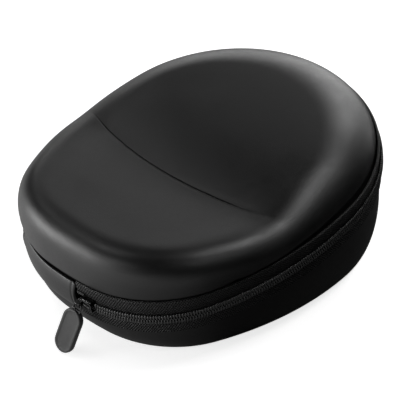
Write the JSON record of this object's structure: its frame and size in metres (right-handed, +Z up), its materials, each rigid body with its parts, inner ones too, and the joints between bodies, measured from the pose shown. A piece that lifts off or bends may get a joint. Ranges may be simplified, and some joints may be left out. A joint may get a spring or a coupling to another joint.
{
  "type": "headphone carrying case",
  "caption": "Egg-shaped hard-shell headphone carrying case with a domed lid, a zip round the side on a sloping plane, a leather hinge at the narrow end and a hanging zip puller",
  "frame": {"origin": "on the ground plane, under the middle of the zip line's length and width", "axes": "+X from the narrow hinge end toward the broad end, +Y to the left seen from the narrow end, +Z up; the base stands flat on z = 0"},
  "size_m": [0.2222, 0.1746, 0.0871],
  "materials": {
    "case_leather": "satin fine-grain synthetic leather",
    "case_foam": "moulded closed-cell foam",
    "case_lining": "brushed knit lining",
    "binding": "woven binding tape",
    "zip_tape": "woven polyester zip tape",
    "zip_coil": "nylon monofilament coil",
    "zip_cord": "twisted filler cord",
    "hinge_leather": "smooth synthetic leather",
    "zip_metal": "black nickel-look coating",
    "pull_rubber": "matte moulded rubber"
  },
  "bodies": {
    "base": {"base_cover": "case_leather", "base_core": "case_foam", "base_lining": "case_lining", "base_rim_binding": "binding", "base_zip_tape": "zip_tape", "base_zip_coil": "zip_coil", "base_zip_cord": "zip_cord", "hinge_leather_base": "hinge_leather", "hinge_lining_base": "binding", "base_top_stop": "zip_metal", "zip_end_bar": "zip_metal"},
    "lid": {"lid_cover": "case_leather", "lid_core": "case_foam", "lid_lining": "case_lining", "lid_rim_binding": "binding", "lid_zip_tape": "zip_tape", "lid_zip_coil": "zip_coil", "lid_zip_cord": "zip_cord", "hinge_leather_lid": "hinge_leather", "hinge_lining_lid": "binding", "lid_top_stop": "zip_metal"},
    "slider": {"slider_body": "zip_metal"},
    "pull": {"pull_link": "zip_metal", "pull_tab": "pull_rubber"}
  },
  "joints": [
    {"name": "lid_hinge", "type": "hinge", "parent": "base", "child": "lid", "pos_m": [-0.10179, 0.02605, 0.02992], "axis": [-0.2399, -0.9699, -0.0426], "range_deg": [0, 120]},
    {"name": "slider_travel", "type": "hinge", "parent": "base", "child": "slider", "pos_m": [-0.03896, -0.01002, 0.04108], "axis": [-0.1749, 0, 0.9846], "range_deg": [0, 57]},
    {"name": "pull_swing", "type": "hinge", "parent": "slider", "child": "pull", "pos_m": [-0.10678, -0.00899, 0.03005], "axis": [-0.0172, 0.9969, 0.0765], "range_deg": [0, 40]}
  ]
}
